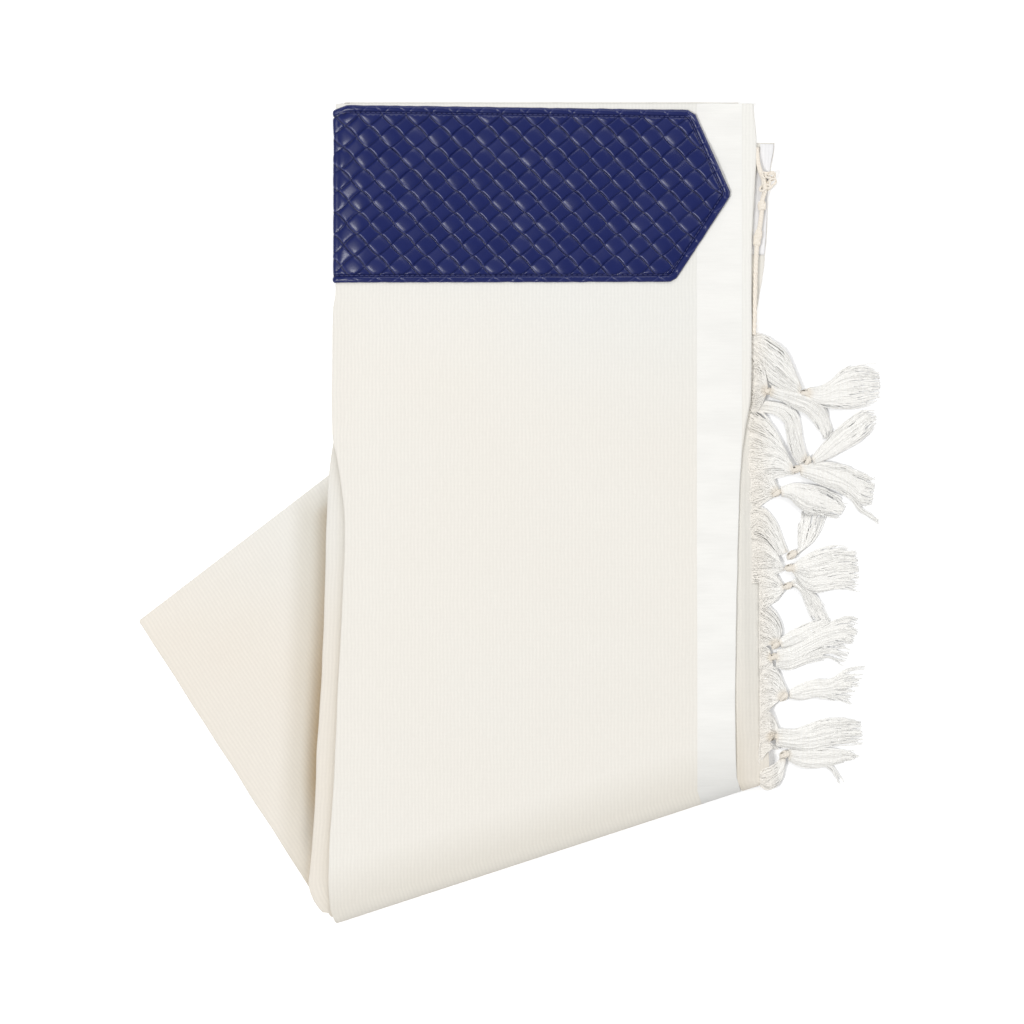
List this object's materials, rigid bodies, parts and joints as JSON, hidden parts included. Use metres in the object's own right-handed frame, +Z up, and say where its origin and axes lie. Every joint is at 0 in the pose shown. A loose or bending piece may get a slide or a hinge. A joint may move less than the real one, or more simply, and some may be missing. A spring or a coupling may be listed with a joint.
{
  "type": "folded tallit prayer shawl",
  "caption": "Cream ribbed prayer shawl folded flat, with a plaited navy leather neckband, a satin stripe, a tied fringe and a knotted corner cord",
  "frame": {"origin": "centre of the bounding box in plan, on the table that the folded shawl lies on", "axes": "+Z up from the table, shortest extent; +Y up the folded panel towards the neckband, longest extent; +X towards the fringe"},
  "size_m": [0.5008, 0.5546, 0.0147],
  "materials": {
    "shawl_cloth": "ribbed cream weave of wool or viscose, matte with a soft nap",
    "satin": "bright white satin weave, soft sheen across the yarns",
    "fringe_yarn": "off-white soft spun yarn, matte",
    "neckband_leather": "navy plaited leather with a turned and stitched rim, low satin gloss"
  },
  "bodies": {
    "root": {"front_panel": "shawl_cloth", "second_ply_roll": "shawl_cloth", "inner_layers": "shawl_cloth", "end_ply": "shawl_cloth", "flap_panel": "shawl_cloth", "flap_layers": "shawl_cloth", "corner_patch": "satin", "atarah": "neckband_leather", "tzitzit": "fringe_yarn", "tassel_01": "fringe_yarn", "tassel_02": "fringe_yarn", "tassel_03": "fringe_yarn", "tassel_04": "fringe_yarn", "tassel_05": "fringe_yarn", "tassel_06": "fringe_yarn", "tassel_07": "fringe_yarn", "tassel_08": "fringe_yarn", "tassel_09": "fringe_yarn", "tassel_10": "fringe_yarn", "tassel_11": "fringe_yarn", "tassel_12": "fringe_yarn", "tassel_13": "fringe_yarn"}
  },
  "joints": []
}
